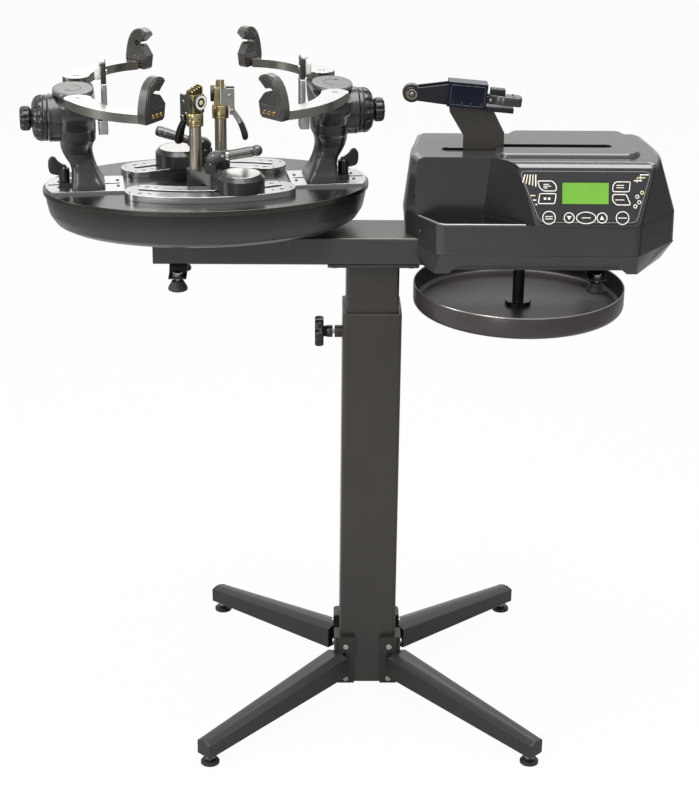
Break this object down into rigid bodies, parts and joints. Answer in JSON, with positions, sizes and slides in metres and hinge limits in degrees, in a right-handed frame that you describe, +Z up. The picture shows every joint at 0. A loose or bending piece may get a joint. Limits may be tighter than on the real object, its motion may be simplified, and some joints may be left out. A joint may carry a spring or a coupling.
{
  "type": "racket stringing machine",
  "caption": "Free-standing racket stringing machine: turntable with two mounting towers and string clamps, electric tension head, tool tray and height-adjustable column on spread legs.",
  "frame": {"origin": "on the floor, at the centre of the whole machine's outline seen from above", "axes": "+X along the beam from the turntable to the tension unit, +Y to the back, away from the control panel's side, +Z up along the column"},
  "size_m": [0.9767, 0.5334, 1.058],
  "materials": {
    "black_plastic": "satin",
    "dark_paint": "fine texture, satin",
    "bright_steel": "bright",
    "brushed_plate": "brushed",
    "polished_arm": "polished",
    "cast_black": "satin",
    "grey_plastic": "satin",
    "deck_black": "gloss",
    "clamp_brass": "satin",
    "grey_metal": "satin",
    "gloss_panel": "gloss"
  },
  "bodies": {
    "stand": {"outer_column": "dark_paint", "column_sleeve": "black_plastic", "legs": "dark_paint", "leg_end_feet": "black_plastic", "leg_screws": "bright_steel"},
    "height_lock_knob": {"height_lock_knob": "black_plastic"},
    "bench": {"inner_column": "dark_paint", "beam": "dark_paint", "bench_bolts": "bright_steel", "table_feet": "dark_paint", "tool_tray": "dark_paint", "turntable_spindle": "bright_steel", "housing": "black_plastic", "base_pan": "black_plastic", "control_panel": "gloss_panel", "drive_motor": "grey_metal", "power_inlet": "black_plastic"},
    "turntable": {"turntable_dish": "grey_plastic", "deck_plate": "deck_black", "tower_slides": "brushed_plate", "glide_bars": "brushed_plate", "deck_screws": "bright_steel"},
    "tension_head": {"head_blade": "dark_paint", "head_casing": "grey_metal"},
    "gripper_lever": {"gripper_lever": "grey_metal"},
    "nose_roller": {"nose_roller": "grey_metal"},
    "lead_screw": {"lead_screw": "bright_steel"},
    "power_switch": {"power_switch": "black_plastic"},
    "left_tower": {"left_tower": "cast_black"},
    "left_lock_lever": {"left_lock_lever": "black_plastic"},
    "left_arm_knob": {"left_arm_knob": "black_plastic"},
    "left_support_knob": {"left_support_knob": "black_plastic"},
    "left_head_support": {"left_head_support": "polished_arm"},
    "left_front_arm": {"left_front_arm": "polished_arm", "left_front_hook": "cast_black"},
    "left_rear_arm": {"left_rear_arm": "polished_arm", "left_rear_hook": "cast_black"},
    "right_tower": {"right_tower": "cast_black"},
    "right_lock_lever": {"right_lock_lever": "black_plastic"},
    "right_arm_knob": {"right_arm_knob": "black_plastic"},
    "right_support_knob": {"right_support_knob": "black_plastic"},
    "right_head_support": {"right_head_support": "polished_arm"},
    "right_front_arm": {"right_front_arm": "polished_arm", "right_front_hook": "cast_black"},
    "right_rear_arm": {"right_rear_arm": "polished_arm", "right_rear_hook": "cast_black"},
    "front_glide_nut": {"front_glide_nut": "bright_steel"},
    "front_clamp_base": {"front_clamp_base": "cast_black"},
    "front_base_lever": {"front_base_lever": "grey_metal"},
    "front_clamp_post": {"front_clamp_post": "clamp_brass"},
    "front_clamp_jaw": {"front_clamp_jaw": "grey_metal"},
    "front_clamp_dial": {"front_clamp_dial": "brushed_plate"},
    "front_head_lever": {"front_head_lever": "black_plastic"},
    "rear_glide_nut": {"rear_glide_nut": "bright_steel"},
    "rear_clamp_base": {"rear_clamp_base": "cast_black"},
    "rear_base_lever": {"rear_base_lever": "grey_metal"},
    "rear_clamp_post": {"rear_clamp_post": "clamp_brass"},
    "rear_clamp_jaw": {"rear_clamp_jaw": "grey_metal"},
    "rear_clamp_dial": {"rear_clamp_dial": "brushed_plate"},
    "rear_head_lever": {"rear_head_lever": "black_plastic"}
  },
  "joints": [
    {"name": "height_lock_turn", "type": "hinge", "parent": "stand", "child": "height_lock_knob", "pos_m": [-0.0267, 0, 0.621], "axis": [-1, 0, 0], "range_deg": [0, 720]},
    {"name": "bench_height", "type": "slide", "parent": "stand", "child": "bench", "axis": [0, 0, 1], "range_m": [-0.055, 0.14]},
    {"name": "turntable_spin", "type": "hinge", "parent": "bench", "child": "turntable", "pos_m": [-0.2167, 0, 0.7866], "axis": [0, 0, 1], "continuous": true},
    {"name": "left_tower_slide", "type": "slide", "parent": "turntable", "child": "left_tower", "axis": [-0.9917, -0.1288, 0], "range_m": [-0.009, 0.015]},
    {"name": "left_lock_lever_turn", "type": "hinge", "parent": "left_tower", "child": "left_lock_lever", "pos_m": [-0.42644, -0.02724, 0.871], "axis": [0, 0, 1], "range_deg": [-60, 60]},
    {"name": "left_arm_knob_turn", "type": "hinge", "parent": "left_tower", "child": "left_arm_knob", "pos_m": [-0.45589, -0.03106, 0.9627], "axis": [-0.9917, -0.1288, 0], "range_deg": [-720, 720]},
    {"name": "left_support_knob_turn", "type": "hinge", "parent": "left_tower", "child": "left_support_knob", "pos_m": [-0.47573, -0.03364, 0.9627], "axis": [-0.9917, -0.1288, 0], "range_deg": [-1850, 580]},
    {"name": "left_head_support_slide", "type": "slide", "parent": "left_tower", "child": "left_head_support", "axis": [-0.9917, -0.1288, 0], "range_m": [-0.0101, 0.0031]},
    {"name": "left_front_arm_swing", "type": "hinge", "parent": "left_tower", "child": "left_front_arm", "pos_m": [-0.39337, -0.09555, 0.995], "axis": [0, 0, 1], "range_deg": [-12.5, 12.5]},
    {"name": "left_rear_arm_swing", "type": "hinge", "parent": "left_tower", "child": "left_rear_arm", "pos_m": [-0.41191, 0.04725, 0.995], "axis": [0, 0, 1], "range_deg": [-12.5, 12.5]},
    {"name": "right_tower_slide", "type": "slide", "parent": "turntable", "child": "right_tower", "axis": [0.9917, 0.1288, 0], "range_m": [-0.009, 0.015]},
    {"name": "right_lock_lever_turn", "type": "hinge", "parent": "right_tower", "child": "right_lock_lever", "pos_m": [-0.01242, 0.02653, 0.871], "axis": [0, 0, 1], "range_deg": [-60, 60]},
    {"name": "right_arm_knob_turn", "type": "hinge", "parent": "right_tower", "child": "right_arm_knob", "pos_m": [0.01704, 0.03036, 0.9627], "axis": [0.9917, 0.1288, 0], "range_deg": [-720, 720]},
    {"name": "right_support_knob_turn", "type": "hinge", "parent": "right_tower", "child": "right_support_knob", "pos_m": [0.03687, 0.03293, 0.9627], "axis": [0.9917, 0.1288, 0], "range_deg": [-1850, 580]},
    {"name": "right_head_support_slide", "type": "slide", "parent": "right_tower", "child": "right_head_support", "axis": [0.9917, 0.1288, 0], "range_m": [-0.0101, 0.0031]},
    {"name": "right_front_arm_swing", "type": "hinge", "parent": "right_tower", "child": "right_front_arm", "pos_m": [-0.02694, -0.04796, 0.995], "axis": [0, 0, 1], "range_deg": [-12.5, 12.5]},
    {"name": "right_rear_arm_swing", "type": "hinge", "parent": "right_tower", "child": "right_rear_arm", "pos_m": [-0.04549, 0.09484, 0.995], "axis": [0, 0, 1], "range_deg": [-12.5, 12.5]},
    {"name": "front_clamp_glide", "type": "hinge", "parent": "turntable", "child": "front_glide_nut", "pos_m": [-0.24117, 0.18842, 0.867], "axis": [0, 0, 1], "range_deg": [-20, 12]},
    {"name": "front_clamp_swivel", "type": "hinge", "parent": "front_glide_nut", "child": "front_clamp_base", "pos_m": [-0.16358, -0.07019, 0.867], "axis": [0, 0, 1], "range_deg": [-8, 4]},
    {"name": "front_base_lever_lift", "type": "hinge", "parent": "front_clamp_base", "child": "front_base_lever", "pos_m": [-0.2084, -0.04008, 0.893], "axis": [-0.068, -0.9977, 0], "range_deg": [0, 55]},
    {"name": "front_head_turn", "type": "hinge", "parent": "front_clamp_base", "child": "front_clamp_post", "pos_m": [-0.23164, -0.02446, 0.886], "axis": [0, 0, 1], "range_deg": [-90, 90]},
    {"name": "front_jaw_slide", "type": "slide", "parent": "front_clamp_post", "child": "front_clamp_jaw", "axis": [0.712, -0.7022, 0], "range_m": [-0.002, 0]},
    {"name": "front_dial_turn", "type": "hinge", "parent": "front_clamp_post", "child": "front_clamp_dial", "pos_m": [-0.2231, -0.03288, 0.9875], "axis": [0.712, -0.7022, 0], "range_deg": [-180, 180]},
    {"name": "front_head_lever_lift", "type": "hinge", "parent": "front_clamp_post", "child": "front_head_lever", "pos_m": [-0.2441, -0.01217, 0.9625], "axis": [0.7022, 0.712, 0], "range_deg": [0, 50.5]},
    {"name": "rear_clamp_glide", "type": "hinge", "parent": "turntable", "child": "rear_glide_nut", "pos_m": [-0.19223, -0.18842, 0.867], "axis": [0, 0, 1], "range_deg": [-20, 12]},
    {"name": "rear_clamp_swivel", "type": "hinge", "parent": "rear_glide_nut", "child": "rear_clamp_base", "pos_m": [-0.26348, 0.07201, 0.867], "axis": [0, 0, 1], "range_deg": [-8, 4]},
    {"name": "rear_base_lever_lift", "type": "hinge", "parent": "rear_clamp_base", "child": "rear_base_lever", "pos_m": [-0.21929, 0.04096, 0.893], "axis": [0.0889, 0.996, 0], "range_deg": [0, 55]},
    {"name": "rear_head_turn", "type": "hinge", "parent": "rear_clamp_base", "child": "rear_clamp_post", "pos_m": [-0.19639, 0.02486, 0.886], "axis": [0, 0, 1], "range_deg": [-90, 90]},
    {"name": "rear_jaw_slide", "type": "slide", "parent": "rear_clamp_post", "child": "rear_clamp_jaw", "axis": [-0.9997, -0.0244, 0], "range_m": [-0.002, 0]},
    {"name": "rear_dial_turn", "type": "hinge", "parent": "rear_clamp_post", "child": "rear_clamp_dial", "pos_m": [-0.20838, 0.02457, 0.9875], "axis": [-0.9997, -0.0244, 0], "range_deg": [-180, 180]},
    {"name": "rear_head_lever_lift", "type": "hinge", "parent": "rear_clamp_post", "child": "rear_head_lever", "pos_m": [-0.17889, 0.02529, 0.9625], "axis": [0.0244, -0.9997, 0], "range_deg": [0, 50.5]},
    {"name": "tension_head_slide", "type": "slide", "parent": "bench", "child": "tension_head", "axis": [1, 0, 0], "range_m": [-0.02, 0.158]},
    {"name": "gripper_lift", "type": "hinge", "parent": "tension_head", "child": "gripper_lever", "pos_m": [0.20328, 0, 0.98787], "axis": [0, -1, 0], "range_deg": [0, 25]},
    {"name": "nose_roller_spin", "type": "hinge", "parent": "tension_head", "child": "nose_roller", "pos_m": [0.08709, 0, 0.99653], "axis": [0, 1, 0], "continuous": true},
    {"name": "lead_screw_turn", "type": "hinge", "parent": "bench", "child": "lead_screw", "pos_m": [0.1183, 0, 0.85], "axis": [1, 0, 0], "range_deg": [-1500, 11500]},
    {"name": "power_switch_rock", "type": "hinge", "parent": "bench", "child": "power_switch", "pos_m": [0.4023, 0.1, 0.803], "axis": [1, 0, 0], "range_deg": [-8, 8]}
  ],
  "couplings": [
    {"joint": "left_support_knob_turn", "follows": "left_head_support_slide", "rad_per_m": 3141.6},
    {"joint": "left_front_arm_swing", "follows": "left_arm_knob_turn", "ratio": -0.016667},
    {"joint": "left_rear_arm_swing", "follows": "left_arm_knob_turn", "ratio": 0.016667},
    {"joint": "right_support_knob_turn", "follows": "right_head_support_slide", "rad_per_m": 3141.6},
    {"joint": "right_front_arm_swing", "follows": "right_arm_knob_turn", "ratio": 0.016667},
    {"joint": "right_rear_arm_swing", "follows": "right_arm_knob_turn", "ratio": -0.016667},
    {"joint": "front_head_lever_lift", "follows": "front_jaw_slide", "rad_per_m": -436.33},
    {"joint": "rear_head_lever_lift", "follows": "rear_jaw_slide", "rad_per_m": -436.33},
    {"joint": "lead_screw_turn", "follows": "tension_head_slide", "rad_per_m": 1256.6}
  ]
}
